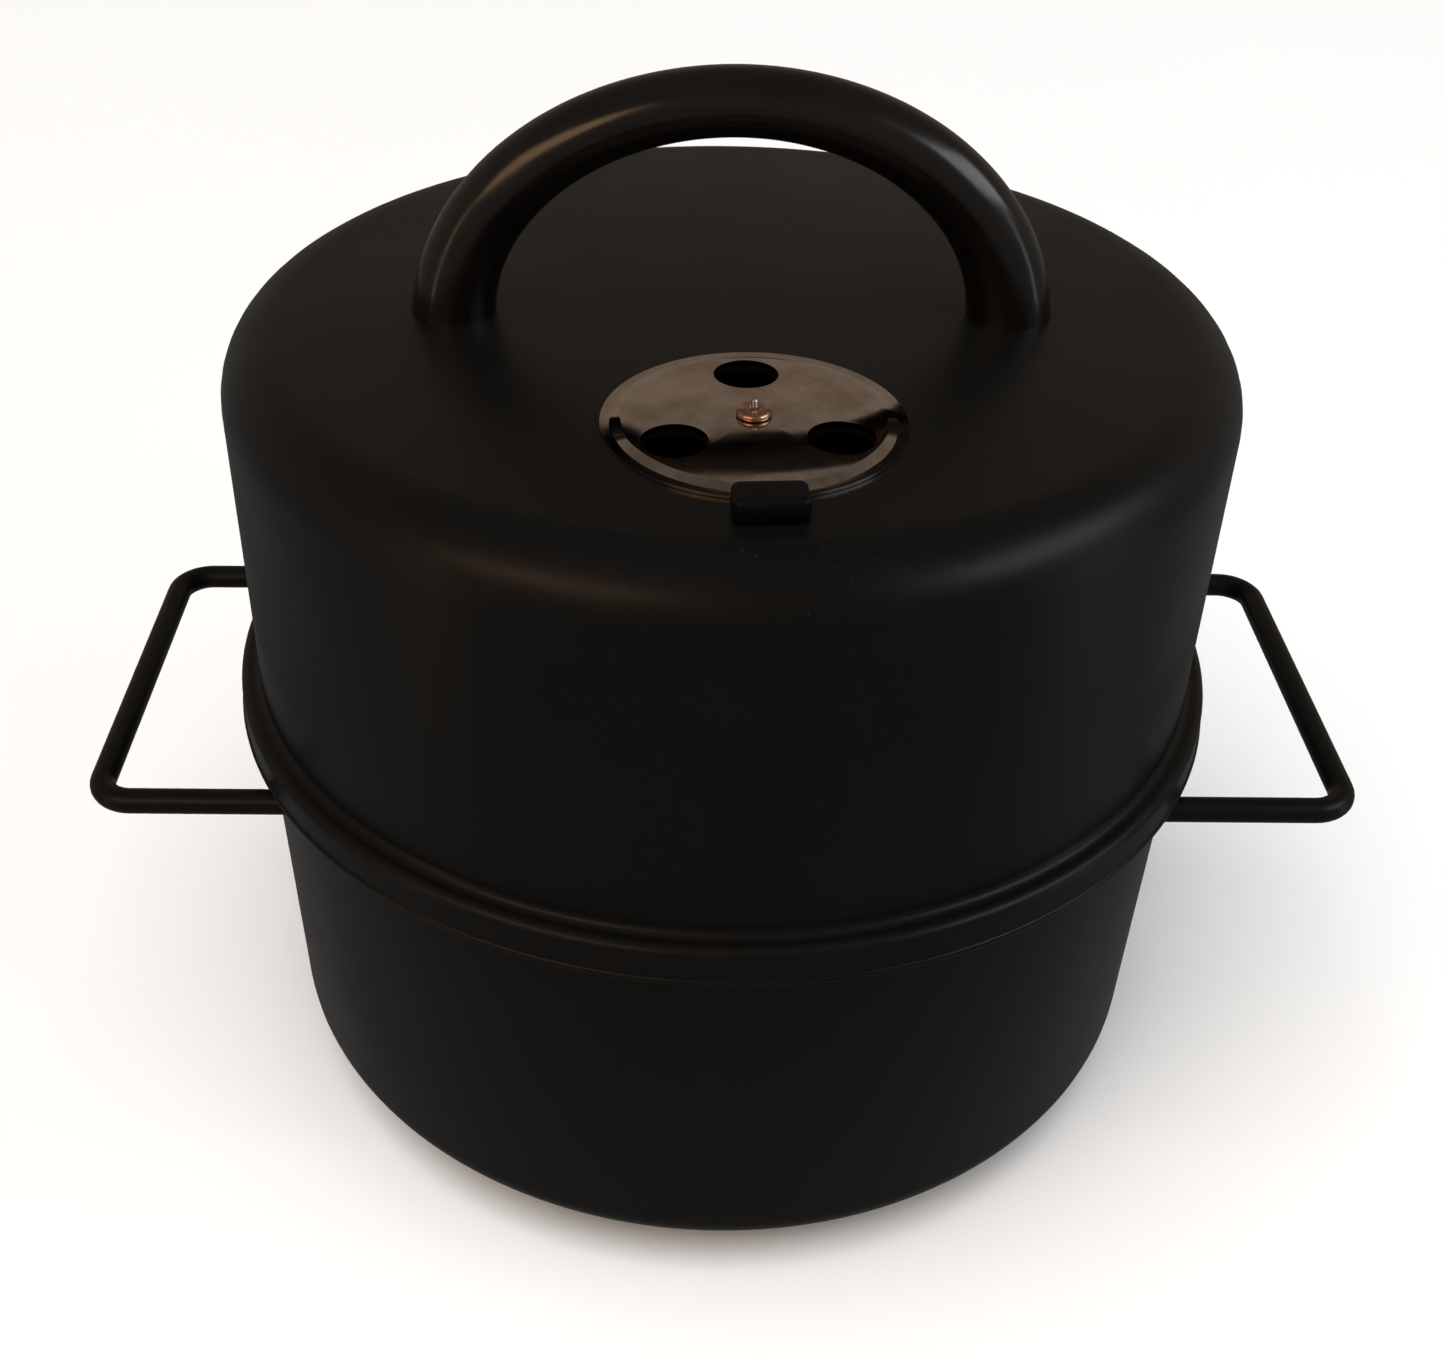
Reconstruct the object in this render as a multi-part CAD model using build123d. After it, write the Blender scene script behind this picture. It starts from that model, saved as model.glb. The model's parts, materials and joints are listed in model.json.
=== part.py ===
from build123d import *
from math import cos, radians, sin, sqrt
import os

# Compact vertical water smoker: a charcoal pot on three feet, with a charcoal grate, a water pan
# and a cooking grate stacked inside it, under a deep lid with an arch handle and a turning damper.
# The origin is on the ground, on the pot's axis. +Z is up, +X points to the right side handle and
# -Y to the lid's vent. All sizes are in millimetres.

# ---- driving dimensions ----
FOOT_HEIGHT = 14.0
FOOT_CIRCLE = 105.0
FOOT_TREAD_RADIUS = 10.0
FOOT_TOP_RADIUS = 12.0
FOOT_EDGE = 1.5
FOOT_BORE_LOW = 5.0
FOOT_ANGLES = {"foot_rear": 90.0, "foot_front_left": 210.0, "foot_front_right": 330.0}

POT_BASE_RADIUS = 139.3
POT_RIM_RADIUS = 140.8
POT_HEIGHT = 124.9
POT_CORNER = 12.0
POT_SHEET = 1.2
RIM_BEAD_RADIUS = 2.4
RIM_BEAD_OUTSET = 0.6

LID_TOP_RADIUS = 138.7
LID_BASE_RADIUS = 140.0
LID_SHEET = 1.0
LID_SHOULDER = 17.0
LID_HEM_HEIGHT = 115.6
LID_STEP_HEIGHT = 126.0
LID_TOP_HEIGHT = 230.1
SKIRT_RADIUS = 146.0
STEP_HOLLOW = 2.8
STEP_CROWN = 3.0
HEM_RADIUS = 1.1
HEM_INSET = 0.3

ARCH_HALF_SPAN = 75.0
ARCH_HALF_WIDTH = 75.4
ARCH_HALF_HEIGHT = 60.8
ARCH_DROP = 5.0
ARCH_Y = -4.0
ARCH_CROWN_RADIUS = 8.7
ARCH_FOOT_RADIUS = 12.3
ARCH_SWEEP = 97.0
ARCH_SECTIONS = 6
INSERT_RADIUS = 4.5
INSERT_LENGTH = 14.0

SIDE_HANDLE_REACH = 182.6
SIDE_HANDLE_HALF_WIDTH = 60.8
SIDE_HANDLE_HEIGHT = 102.5
SIDE_HANDLE_WIRE = 7.5
SIDE_HANDLE_BEND = 10.0
WELD_REACH = 3.0
WELD_LIP = 0.4
WELD_LENGTH = 9.0

VENT_X = 3.9
VENT_Y = -69.5
VENT_TURN = 3.0
VENT_HOLE_CIRCLE = 23.0
VENT_HOLE_RADIUS = 8.2
DAMPER_RADIUS = 37.4
DAMPER_SHEET = 0.8
DAMPER_RISE = 2.1
DAMPER_GAP = 0.15
DAMPER_SLOPE_TOP = 5.0
DAMPER_SLOPE_FOOT = 2.4
GRIP_WIDTH = 17.5
GRIP_LENGTH = 10.5
GRIP_HEIGHT = 5.6
GRIP_LIFT = 0.3
GRIP_STAND_OFF = 0.2
TONGUE_WIDTH = 11.0
TONGUE_LENGTH = 9.0
TONGUE_MIDDLE = 3.0
RIVET_RADIUS = 2.5
RIVET_BORE = 0.9
RIVET_HEAD_RADIUS = 4.4
RIVET_HEAD_HEIGHT = 1.8
RIVET_TAIL_RADIUS = 3.8
RIVET_TAIL_HEIGHT = 2.2
MANDREL_TIP = 4.2
WASHER_RADIUS = 6.5
WASHER_SHEET = 0.5
WASHER_RISE = 1.3

BRACKET_ANGLES = (30.0, 150.0, 270.0)
BRACKET_WIDTH = 18.0
BRACKET_SHEET = 2.0
UPPER_LEDGE = 108.0
LOWER_LEDGE = 98.0
LEDGE_INNER_RADIUS = 112.0
LEDGE_RISER_RADIUS = 125.0
BRACKET_TAIL = 30.0

PAN_RIM_RADIUS = 121.0
PAN_WALL_RADIUS = 109.5
PAN_FLOOR_RADIUS = 99.0
PAN_DEPTH = 38.0
PAN_FLOOR_BEND = 10.0
PAN_LIP_BEND = 2.5
PAN_SHEET = 1.0
PAN_HEM_RADIUS = 1.6

COOKING_RING_RADIUS = 130.0
COOKING_RING_WIRE = 5.0
COOKING_BAR_WIRE = 3.6
COOKING_BAR_PITCH = 13.0
COOKING_ROD_OFFSET = 55.0
LOOP_HALF_WIDTH = 26.0
LOOP_RISE = 30.0
LOOP_BEND = 8.0
CHARCOAL_RING_RADIUS = 105.0
CHARCOAL_RING_WIRE = 5.0
CHARCOAL_BAR_WIRE = 4.5
CHARCOAL_BAR_PITCH = 15.0
CHARCOAL_ROD_OFFSET = 45.0
CHARCOAL_RING_HEIGHT = 20.0
CHARCOAL_LEG_WIRE = 4.0
WELD_SINK = 0.6

SCREW_RADIUS = 3.0
SCREW_HEAD_RADIUS = 6.0
SCREW_HEAD_HEIGHT = 2.8
SCREW_HEAD_EDGE = 1.8
SLOT_WIDTH = 1.2
SLOT_DEPTH = 1.1
PLAIN_WASHER_RADIUS = 8.5
PLAIN_WASHER_SHEET = 1.4

# ---- clearances ----
SLIP = 0.05
SEAT = 0.02
REST_GAP = 0.3

# ---- heights worked out from them ----
POT_Z = FOOT_HEIGHT
LID_Z = POT_Z + LID_TOP_HEIGHT
POT_FLOOR = POT_Z + POT_SHEET


# ---- helpers ----
def turned(profile):
    """Revolves a face drawn as (radius, height) about the Z axis."""
    return revolve(Plane.XZ * profile, Axis.Z)


def corner_rounded(face, spots):
    """Rounds the face's corners at the given (x, y) spots, each with its own radius."""
    for x, y, radius in spots:
        corner = [v for v in face.vertices() if abs(v.X - x) < 0.01 and abs(v.Y - y) < 0.01]
        face = fillet(corner, radius)
    return face


def sheet_face(points, radii, thickness):
    """A sheet-metal section: a rounded polyline, read outwards, with its thickness on the right of it."""
    path = FilletPolyline(*points, radius=radii)
    return make_face(offset(path, amount=thickness, side=Side.RIGHT).edges())


def upright(radius, low, high, x=0.0, y=0.0):
    """A vertical cylinder from one height to another."""
    return Pos(x, y, (low + high) / 2) * Cylinder(radius, high - low)


def rod(start, end, radius):
    """A straight round rod between two points."""
    line = Line(start, end)
    return sweep(Plane(origin=start, z_dir=line % 0) * Circle(radius), path=line)


def polar(radius, angle, z=0.0):
    """A point at a radius and an angle in degrees about the Z axis."""
    return (radius * cos(radians(angle)), radius * sin(radians(angle)), z)


def vent_holes(low, high, turn):
    """The three round vent holes as cutters, about the damper's own axis."""
    spots = [polar(VENT_HOLE_CIRCLE, 90 + turn + 120 * k) for k in range(3)]
    return [upright(VENT_HOLE_RADIUS, low, high, x, y) for x, y, _ in spots]


def pot_radius(height):
    """The pot wall's outer radius at a height above its underside."""
    return POT_BASE_RADIUS + (POT_RIM_RADIUS - POT_BASE_RADIUS) * height / POT_HEIGHT


def seen_from_below(shape, height):
    """Turns a shape over about the X axis and sets its base plane at a height."""
    return Pos(0, 0, height) * (Rot(180, 0, 0) * shape)


# ---- charcoal pot ----
def pot_form(inset):
    """The pot's solid form; an inset of the sheet thickness gives the hollow inside it."""
    low = POT_Z + inset
    high = POT_Z + POT_HEIGHT - RIM_BEAD_RADIUS
    base, rim = POT_BASE_RADIUS - inset, POT_RIM_RADIUS - inset
    face = make_face(Polyline((0, low), (base, low), (rim, high), (0, high), close=True))
    return turned(corner_rounded(face, [(base, low, POT_CORNER - inset)]))


def base_pot():
    """A drawn steel pot with a wired rim, three air holes and holes for its feet and damper."""
    bead_height = POT_Z + POT_HEIGHT - RIM_BEAD_RADIUS
    bead = Pos(0, 0, bead_height) * Torus(POT_RIM_RADIUS + RIM_BEAD_OUTSET, RIM_BEAD_RADIUS)
    pot = pot_form(0) + bead - pot_form(POT_SHEET)
    low, high = POT_Z - 1, POT_FLOOR + 1
    cutters = vent_holes(low, high, 180 - VENT_TURN) + [upright(RIVET_RADIUS + SLIP, low, high)]
    for angle in FOOT_ANGLES.values():
        x, y, _ = polar(FOOT_CIRCLE, angle)
        cutters.append(upright(SCREW_RADIUS + 2 * SLIP, low, high, x, y))
    return pot - cutters


def foot(angle):
    """A turned metal foot with a blind hole for its screw."""
    tread, top = FOOT_TREAD_RADIUS, FOOT_TOP_RADIUS
    profile = make_face(Polyline((0, 0), (tread, 0), (top, FOOT_HEIGHT), (0, FOOT_HEIGHT), close=True))
    profile = corner_rounded(profile, [(tread, 0, FOOT_EDGE)])
    body = turned(profile) - upright(SCREW_RADIUS + SLIP, FOOT_BORE_LOW, FOOT_HEIGHT + 1)
    return Pos(*polar(FOOT_CIRCLE, angle)) * body


def foot_screws():
    """Pan-head screws that come down through the pot's floor into the feet."""
    screw = Pos(0, 0, POT_FLOOR) * pan_head_screw(POT_FLOOR - FOOT_BORE_LOW - 1)
    return [Pos(*polar(FOOT_CIRCLE, angle)) * screw for angle in FOOT_ANGLES.values()]


def support_bracket(angle):
    """A stepped ledge spot-welded inside the wall: a low step for the pan and a high one for the grate."""
    inside = pot_radius(UPPER_LEDGE - BRACKET_TAIL) - POT_SHEET
    back = sqrt(inside ** 2 - (BRACKET_WIDTH / 2) ** 2) - SLIP
    low, high = POT_Z + LOWER_LEDGE, POT_Z + UPPER_LEDGE
    tail = high - BRACKET_TAIL
    section = sheet_face(
        [(LEDGE_INNER_RADIUS, low), (LEDGE_RISER_RADIUS, low), (LEDGE_RISER_RADIUS, high),
         (back, high), (back, tail)], (1.0, 2.5, 2.5), BRACKET_SHEET)
    strip = extrude(Plane.XZ * section, BRACKET_WIDTH / 2, both=True)
    return Rot(0, 0, angle) * strip


def side_handle(side):
    """A bent wire loop whose legs are welded to the pot's wall under the lid's skirt."""
    y, z = SIDE_HANDLE_HALF_WIDTH, POT_Z + SIDE_HANDLE_HEIGHT
    root = POT_BASE_RADIUS * 0.8  # inside the pot, where the legs are cut off along its wall
    path = FilletPolyline((root, y, z), (SIDE_HANDLE_REACH, y, z), (SIDE_HANDLE_REACH, -y, z),
                          (root, -y, z), radius=SIDE_HANDLE_BEND)
    section = Plane(origin=(root, y, z), z_dir=(1, 0, 0)) * Circle(SIDE_HANDLE_WIRE / 2)
    loop = sweep(section, path=path) - pot_form(0)
    return loop if side > 0 else mirror(loop, Plane.YZ)


def handle_weld_beads():
    """The fillet of weld round each leg where it meets the wall."""
    y, z = SIDE_HANDLE_HALF_WIDTH, POT_Z + SIDE_HANDLE_HEIGHT
    wall = sqrt(pot_radius(SIDE_HANDLE_HEIGHT) ** 2 - y ** 2)
    leg = SIDE_HANDLE_WIRE / 2
    collar = Pos(wall, y, z) * (Rot(0, 90, 0) * Cone(leg + WELD_REACH, leg + WELD_LIP, WELD_LENGTH))
    bead = collar - rod((wall - WELD_LENGTH, y, z), (wall + WELD_LENGTH, y, z), leg) - pot_form(0)
    front = mirror(bead, Plane.XZ)
    return [bead, front, mirror(bead, Plane.YZ), mirror(front, Plane.YZ)]


# ---- damper: the same stamped disc, grip and rivet on the lid and under the pot ----
def damper_disc():
    """A pressed disc with three holes, a raised middle and a tongue for its grip, on the plane z = 0."""
    top, rim = DAMPER_RISE + DAMPER_GAP, DAMPER_GAP + DAMPER_SHEET
    section = sheet_face(
        [(RIVET_RADIUS + SLIP, top), (DAMPER_RADIUS - DAMPER_SLOPE_TOP, top),
         (DAMPER_RADIUS - DAMPER_SLOPE_FOOT, rim), (DAMPER_RADIUS, rim)], (3.0, 1.6), DAMPER_SHEET)
    tongue = at_tongue(Box(TONGUE_WIDTH, TONGUE_LENGTH, DAMPER_SHEET))
    return Rot(0, 0, VENT_TURN) * (turned(section) + tongue - vent_holes(-1, 5, 0))


def at_tongue(shape):
    """Places a shape at the middle of the disc's tongue."""
    return Pos(0, -(DAMPER_RADIUS + TONGUE_MIDDLE), DAMPER_GAP + DAMPER_SHEET / 2) * shape


def damper_grip():
    """A black cap pushed over the disc's tongue."""
    middle = DAMPER_RADIUS + GRIP_STAND_OFF + GRIP_LENGTH / 2
    cap = Pos(0, -middle, GRIP_LIFT + GRIP_HEIGHT / 2) * Box(GRIP_WIDTH, GRIP_LENGTH, GRIP_HEIGHT)
    cap = fillet(cap.edges().filter_by(Axis.Z), 1.6)
    cap = fillet(cap.faces().sort_by(Axis.Z)[-1].edges(), 1.2)
    room = 2 * SLIP
    pocket = at_tongue(Box(TONGUE_WIDTH + room, TONGUE_LENGTH + room, DAMPER_SHEET + room))
    return Rot(0, 0, VENT_TURN) * (cap - pocket)


def damper_rivet(sheet):
    """A hollow rivet through the disc and a sheet whose top face is the plane z = 0."""
    low, high, edge = rivet_head_low(), rivet_head_low() + RIVET_HEAD_HEIGHT, RIVET_HEAD_RADIUS
    tail = -sheet - WASHER_RISE
    head = make_face(Polyline((0, low), (edge, low), (edge, high), (0, high), close=True))
    head = turned(corner_rounded(head, [(edge, high, 1.5)]))
    bulb = upright(RIVET_TAIL_RADIUS, tail - RIVET_TAIL_HEIGHT, tail)
    shank = upright(RIVET_RADIUS, tail - RIVET_TAIL_HEIGHT / 2, low + RIVET_HEAD_HEIGHT / 2)
    return shank + head + bulb - upright(RIVET_BORE, tail - RIVET_TAIL_HEIGHT - 1, high + 1)


def rivet_head_low():
    """The underside of the rivet's head above the sheet."""
    return DAMPER_RISE + 2 * DAMPER_GAP


def damper_mandrel(sheet):
    """The steel mandrel left in the rivet, whose tip stands out of its head."""
    low = -sheet - WASHER_RISE - RIVET_TAIL_HEIGHT + 0.2
    return upright(RIVET_BORE - SLIP, low, rivet_head_low() + MANDREL_TIP)


def damper_washer(sheet):
    """The dished spring washer between the sheet and the rivet's tail; it holds the damper as it is set."""
    bore, edge, thick = RIVET_RADIUS + SLIP, WASHER_RADIUS, WASHER_SHEET
    tail, seat = -sheet - WASHER_RISE + SEAT, -sheet - SEAT
    dish = Polyline((bore, tail), (bore, tail + thick), (edge, seat), (edge, seat - thick), close=True)
    return turned(make_face(dish))


def on_lid(shape):
    """Places a damper piece on the lid's top."""
    return Pos(VENT_X, VENT_Y, LID_Z) * shape


def under_pot(shape):
    """Places a damper piece under the pot's floor, facing down."""
    return seen_from_below(shape, POT_Z)


# ---- inner fittings ----
def wire_ring(radius, wire, height):
    """A closed ring of round wire."""
    return Pos(0, 0, height) * Torus(radius, wire / 2)


def grate_bars(reach, pitch, wire, height):
    """Parallel round bars along X that fill a circle of the given radius."""
    count = int(reach / pitch - 0.2)
    rows = [pitch * k for k in range(-count, count + 1)]
    bars = []
    for y in rows:
        half = sqrt(reach ** 2 - y ** 2)
        bars.append(rod((-half, y, height), (half, y, height), wire / 2))
    return bars


def cross_rods(reach, offset_x, wire, height):
    """Two rods along Y under the bars."""
    half = sqrt(reach ** 2 - offset_x ** 2)
    return [rod((x, -half, height), (x, half, height), wire / 2) for x in (-offset_x, offset_x)]


def charcoal_grate():
    """A welded wire grate that stands on the pot's floor on three legs."""
    ring_z = POT_Z + CHARCOAL_RING_HEIGHT
    bar_z = ring_z + (CHARCOAL_RING_WIRE + CHARCOAL_BAR_WIRE) / 2 - WELD_SINK
    ring = wire_ring(CHARCOAL_RING_RADIUS, CHARCOAL_RING_WIRE, ring_z)
    rods = cross_rods(CHARCOAL_RING_RADIUS, CHARCOAL_ROD_OFFSET, CHARCOAL_RING_WIRE, ring_z)
    bars = grate_bars(CHARCOAL_RING_RADIUS, CHARCOAL_BAR_PITCH, CHARCOAL_BAR_WIRE, bar_z)
    legs = []
    for angle in BRACKET_ANGLES:
        x, y, _ = polar(CHARCOAL_RING_RADIUS, angle)
        legs.append(upright(CHARCOAL_LEG_WIRE / 2, POT_FLOOR + REST_GAP, ring_z + 1, x, y))
    return ring + rods + bars + legs


def cooking_grate():
    """A welded wire grate with two upright loops to lift it by."""
    ring_z = POT_Z + UPPER_LEDGE + COOKING_RING_WIRE / 2 + REST_GAP
    bar_z = ring_z + (COOKING_RING_WIRE + COOKING_BAR_WIRE) / 2 - WELD_SINK
    ring = wire_ring(COOKING_RING_RADIUS, COOKING_RING_WIRE, ring_z)
    rods = cross_rods(COOKING_RING_RADIUS, COOKING_ROD_OFFSET, COOKING_RING_WIRE, ring_z)
    bars = grate_bars(COOKING_RING_RADIUS, COOKING_BAR_PITCH, COOKING_BAR_WIRE, bar_z)
    return ring + rods + bars + [grate_loop(side, ring_z) for side in (-1, 1)]


def grate_loop(side, ring_z):
    """One upright wire loop that spans a chord of the grate's ring."""
    half, top = LOOP_HALF_WIDTH, ring_z + LOOP_RISE
    x = side * sqrt(COOKING_RING_RADIUS ** 2 - half ** 2)
    path = FilletPolyline((x, -half, ring_z), (x, -half, top), (x, half, top), (x, half, ring_z),
                          radius=LOOP_BEND)
    section = Plane(origin=(x, -half, ring_z), z_dir=(0, 0, 1)) * Circle(COOKING_BAR_WIRE / 2)
    return sweep(section, path=path)


def water_pan():
    """A shallow enamelled pan that hangs by its flat lip."""
    lip = POT_Z + LOWER_LEDGE + REST_GAP + PAN_SHEET
    floor = lip - PAN_DEPTH
    section = sheet_face(
        [(0, floor), (PAN_FLOOR_RADIUS, floor), (PAN_WALL_RADIUS, lip), (PAN_RIM_RADIUS, lip)],
        (PAN_FLOOR_BEND, PAN_LIP_BEND), PAN_SHEET)
    hem = Pos(0, 0, lip + PAN_HEM_RADIUS - PAN_SHEET) * Torus(PAN_RIM_RADIUS, PAN_HEM_RADIUS)
    return turned(section) + hem


# ---- lid ----
def lid_form(inset):
    """The lid's solid form with its stepped skirt; an inset of the sheet gives the hollow inside it."""
    low = POT_Z + LID_HEM_HEIGHT - inset
    step, top = POT_Z + LID_STEP_HEIGHT - inset, LID_Z - inset
    skirt, base, crown = SKIRT_RADIUS - inset, LID_BASE_RADIUS - inset, LID_TOP_RADIUS - inset
    corners = [(0, low), (skirt, low), (skirt, step), (base, step), (crown, top), (0, top)]
    rounds = [(crown, top, LID_SHOULDER - inset), (skirt, step, STEP_CROWN - inset),
              (base, step, STEP_HOLLOW + inset)]
    return turned(corner_rounded(make_face(Polyline(*corners, close=True)), rounds))


def lid_shell():
    """A deep-drawn steel lid with a hemmed skirt that drops over the pot's rim."""
    hem = Pos(0, 0, POT_Z + LID_HEM_HEIGHT) * Torus(SKIRT_RADIUS - HEM_INSET, HEM_RADIUS)
    shell = lid_form(0) + hem - lid_form(LID_SHEET)
    holes = [Pos(VENT_X, VENT_Y, LID_Z) * cutter for cutter in vent_holes(-3, 2, VENT_TURN)]
    holes.append(upright(RIVET_RADIUS + SLIP, LID_Z - 3, LID_Z + 2, VENT_X, VENT_Y))
    for x in (-ARCH_HALF_SPAN, ARCH_HALF_SPAN):
        holes.append(upright(SCREW_RADIUS + 2 * SLIP, LID_Z - 3, LID_Z + 2, x, ARCH_Y))
    return shell - holes


def arch_section(share):
    """A round section of the arch; share runs from -1 at the left foot to 1 at the right."""
    angle = ARCH_SWEEP * share
    x, rise = ARCH_HALF_WIDTH * sin(radians(angle)), ARCH_HALF_HEIGHT * cos(radians(angle))
    along = (ARCH_HALF_WIDTH * cos(radians(angle)), 0, -ARCH_HALF_HEIGHT * sin(radians(angle)))
    radius = ARCH_CROWN_RADIUS + (ARCH_FOOT_RADIUS - ARCH_CROWN_RADIUS) * share ** 2
    spot = Plane(origin=(x, ARCH_Y, LID_Z - ARCH_DROP + rise), x_dir=(0, 1, 0), z_dir=along)
    return spot * Circle(radius)


def lid_handle():
    """An arched moulded handle, thicker at its feet, which are cut flat to sit on the lid."""
    arch = loft([arch_section(k / ARCH_SECTIONS) for k in range(-ARCH_SECTIONS, ARCH_SECTIONS + 1)])
    below = Pos(0, ARCH_Y, LID_Z - 20) * Box(260, 80, 40)
    socket = upright(INSERT_RADIUS + SLIP, -1, INSERT_LENGTH + 1)
    return arch - below - at_handle_feet(socket)


def at_handle_feet(shape):
    """Puts a copy of a piece on each of the handle's two screw axes."""
    return [Pos(x, ARCH_Y, LID_Z) * shape for x in (-ARCH_HALF_SPAN, ARCH_HALF_SPAN)]


def handle_insert():
    """A brass threaded insert moulded into a handle foot."""
    return upright(INSERT_RADIUS, 0.2, INSERT_LENGTH) - upright(SCREW_RADIUS + SLIP, -1, INSERT_LENGTH - 2)


def handle_washer():
    """A plain washer under the lid."""
    low = -LID_SHEET - PLAIN_WASHER_SHEET
    disc = upright(PLAIN_WASHER_RADIUS, low, -LID_SHEET - SEAT)
    return disc - upright(SCREW_RADIUS + 2 * SLIP, low - 1, 0)


def handle_screw():
    """A pan-head screw that comes up through the lid into the insert."""
    seat = LID_SHEET + PLAIN_WASHER_SHEET + SEAT
    return seen_from_below(pan_head_screw(seat + INSERT_LENGTH - 3.5), -seat)


# ---- fasteners ----
def pan_head_screw(length):
    """A slotted pan-head screw whose head sits on the plane z = 0 and whose shank points down."""
    edge, high = SCREW_HEAD_RADIUS, SCREW_HEAD_HEIGHT
    head = make_face(Polyline((0, 0), (edge, 0), (edge, high), (0, high), close=True))
    head = turned(corner_rounded(head, [(edge, high, SCREW_HEAD_EDGE)]))
    slot = Pos(0, 0, high) * Box(2 * edge, SLOT_WIDTH, 2 * SLOT_DEPTH)
    return upright(SCREW_RADIUS, -length, high / 2) + head - slot


# ---- output ----
def save(name, shape):
    """Writes one node; a list becomes a group of separate solids."""
    if isinstance(shape, (list, tuple)):
        shape = Compound(children=[s for item in shape for s in item.solids()])
    export_step(shape, f"parts/{name}.step")


def main():
    os.makedirs("parts", exist_ok=True)
    save("base_pot", base_pot())
    for name, angle in FOOT_ANGLES.items():
        save(name, foot(angle))
    save("foot_screws", foot_screws())
    save("side_handle_left", side_handle(-1))
    save("side_handle_right", side_handle(1))
    save("handle_weld_beads", handle_weld_beads())
    for number, angle in enumerate(BRACKET_ANGLES, start=1):
        save(f"support_bracket_{number}", support_bracket(angle))
    for owner, place, sheet in (("lid", on_lid, LID_SHEET), ("base", under_pot, POT_SHEET)):
        save(f"{owner}_damper_disc", place(damper_disc()))
        save(f"{owner}_damper_grip", place(damper_grip()))
        save(f"{owner}_damper_rivet", place(damper_rivet(sheet)))
        save(f"{owner}_damper_mandrel", place(damper_mandrel(sheet)))
        save(f"{owner}_damper_washer", place(damper_washer(sheet)))
    save("charcoal_grate", charcoal_grate())
    save("water_pan", water_pan())
    save("cooking_grate", cooking_grate())
    save("lid_shell", lid_shell())
    save("lid_handle", lid_handle())
    save("lid_handle_inserts", at_handle_feet(handle_insert()))
    save("lid_handle_washers", at_handle_feet(handle_washer()))
    save("lid_handle_screws", at_handle_feet(handle_screw()))


main()
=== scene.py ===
import bmesh
import bpy
import json
from math import atan2, ceil, cos, pi, radians, sin, sqrt, tan
from mathutils import Matrix, Vector


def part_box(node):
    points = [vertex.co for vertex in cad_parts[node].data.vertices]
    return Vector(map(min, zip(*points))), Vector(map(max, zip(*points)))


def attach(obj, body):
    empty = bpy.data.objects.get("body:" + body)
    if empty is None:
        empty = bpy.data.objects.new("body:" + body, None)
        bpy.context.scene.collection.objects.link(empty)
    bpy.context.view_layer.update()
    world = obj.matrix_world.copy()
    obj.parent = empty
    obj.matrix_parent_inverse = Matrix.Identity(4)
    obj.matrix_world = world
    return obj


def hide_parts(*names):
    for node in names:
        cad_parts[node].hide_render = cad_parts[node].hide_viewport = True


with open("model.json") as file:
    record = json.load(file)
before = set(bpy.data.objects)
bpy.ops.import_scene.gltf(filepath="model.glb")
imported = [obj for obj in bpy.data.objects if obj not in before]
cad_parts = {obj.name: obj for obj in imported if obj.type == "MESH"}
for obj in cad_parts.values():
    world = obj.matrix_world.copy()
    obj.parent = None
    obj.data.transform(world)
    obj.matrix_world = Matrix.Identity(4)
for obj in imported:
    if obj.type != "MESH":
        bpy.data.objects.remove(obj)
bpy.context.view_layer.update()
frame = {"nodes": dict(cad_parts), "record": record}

# Compact vertical water smoker, in metres, in the frame of the CAD model: the origin is on the
# ground on the pot's axis, +Z is up, +X points to the right side handle, -Y to the lid's vent.

# ---- places and sizes read from the frame ----
MM = 0.001
NODES = frame["nodes"]
POT_LOW, POT_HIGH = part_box("base_pot")
LID_LOW, LID_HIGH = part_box("lid_shell")
HANDLE_LOW, HANDLE_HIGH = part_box("lid_handle")
LOOP_LOW, LOOP_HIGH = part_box("side_handle_right")
RIVET_LOW, RIVET_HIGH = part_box("lid_damper_rivet")
PAN_LOW, PAN_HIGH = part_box("water_pan")
COOKING_LOW, COOKING_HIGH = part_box("cooking_grate")
CHARCOAL_LOW, CHARCOAL_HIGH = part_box("charcoal_grate")
FOOT_LOW, FOOT_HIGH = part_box("foot_rear")

POT_SHEET = 1.2 * MM
RIM_BEAD = 2.4 * MM
RIM_OUTSET = 0.6 * MM
POT_RIM = POT_HIGH.x - RIM_BEAD - RIM_OUTSET
POT_BASE = POT_RIM - 1.5 * MM
POT_CORNER = 12.0 * MM

LID_SHEET = 1.0 * MM
LID_TOP = LID_HIGH.z
SKIRT = LID_HIGH.x - 0.8 * MM
LID_BASE = SKIRT - 6.0 * MM
LID_CROWN = SKIRT - 7.3 * MM
LID_SHOULDER = 17.0 * MM
STEP_BENDS = (2.8 * MM, 3.0 * MM)
HEM = 1.1 * MM
HEM_INSET = 0.3 * MM
HEM_Z = LID_LOW.z + HEM
STEP_Z = HEM_Z + 10.4 * MM

ARCH_SPAN = 75.0 * MM
ARCH_HALF_WIDTH = 75.4 * MM
ARCH_HALF_HEIGHT = 60.8 * MM
ARCH_CROWN = 8.7 * MM
ARCH_FOOT = 12.3 * MM
ARCH_SWEEP = radians(97)
ARCH_Y = (HANDLE_LOW.y + HANDLE_HIGH.y) / 2
ARCH_Z = LID_TOP - 5.0 * MM

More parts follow.
